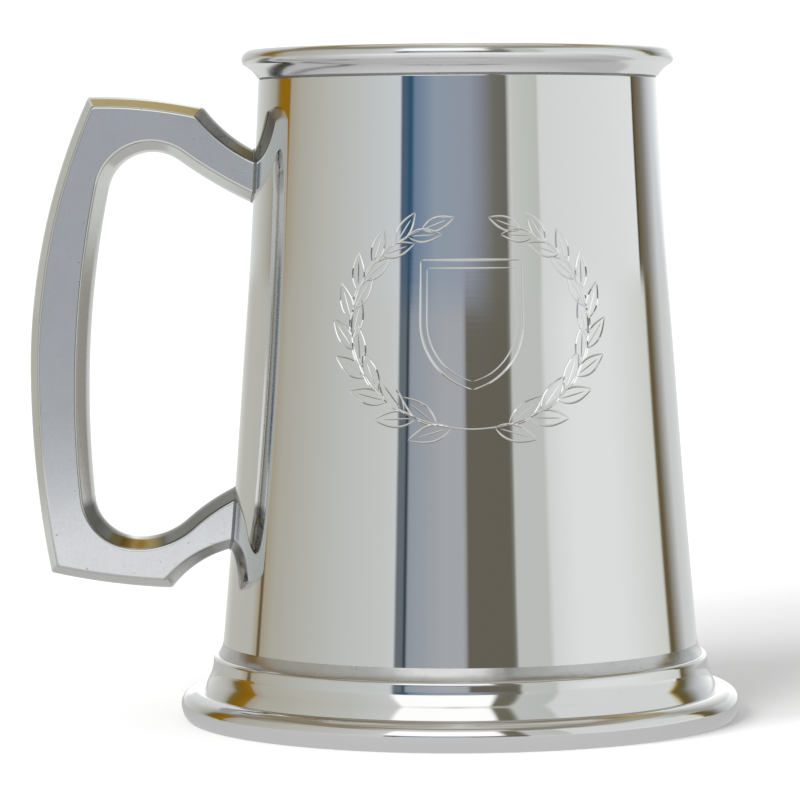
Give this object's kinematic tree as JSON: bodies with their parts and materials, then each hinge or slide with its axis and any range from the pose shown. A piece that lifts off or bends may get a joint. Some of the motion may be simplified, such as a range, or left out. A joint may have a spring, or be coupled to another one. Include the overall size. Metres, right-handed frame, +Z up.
{
  "type": "lidless tankard",
  "caption": "Lidless straight-sided drinking tankard in polished pewter, flaring slightly to a moulded foot, with a coved lip and an angular cast handle.",
  "frame": {"origin": "on the tankard's axis, in the plane the foot rests on", "axes": "+Z up along the tankard's axis; the handle is on the -X side and its middle plane is the XZ plane"},
  "size_m": [0.133, 0.105, 0.125],
  "materials": {
    "polished_pewter": "polished",
    "cast_pewter": "satin",
    "solder": "satin"
  },
  "bodies": {
    "root": {"barrel": "polished_pewter", "rim_ring": "polished_pewter", "foot_ring": "polished_pewter", "floor_disc": "polished_pewter", "handle": "cast_pewter", "rim_solder": "solder", "foot_solder": "solder", "floor_solder": "solder", "upper_handle_solder": "solder", "lower_handle_solder": "solder"}
  },
  "joints": []
}
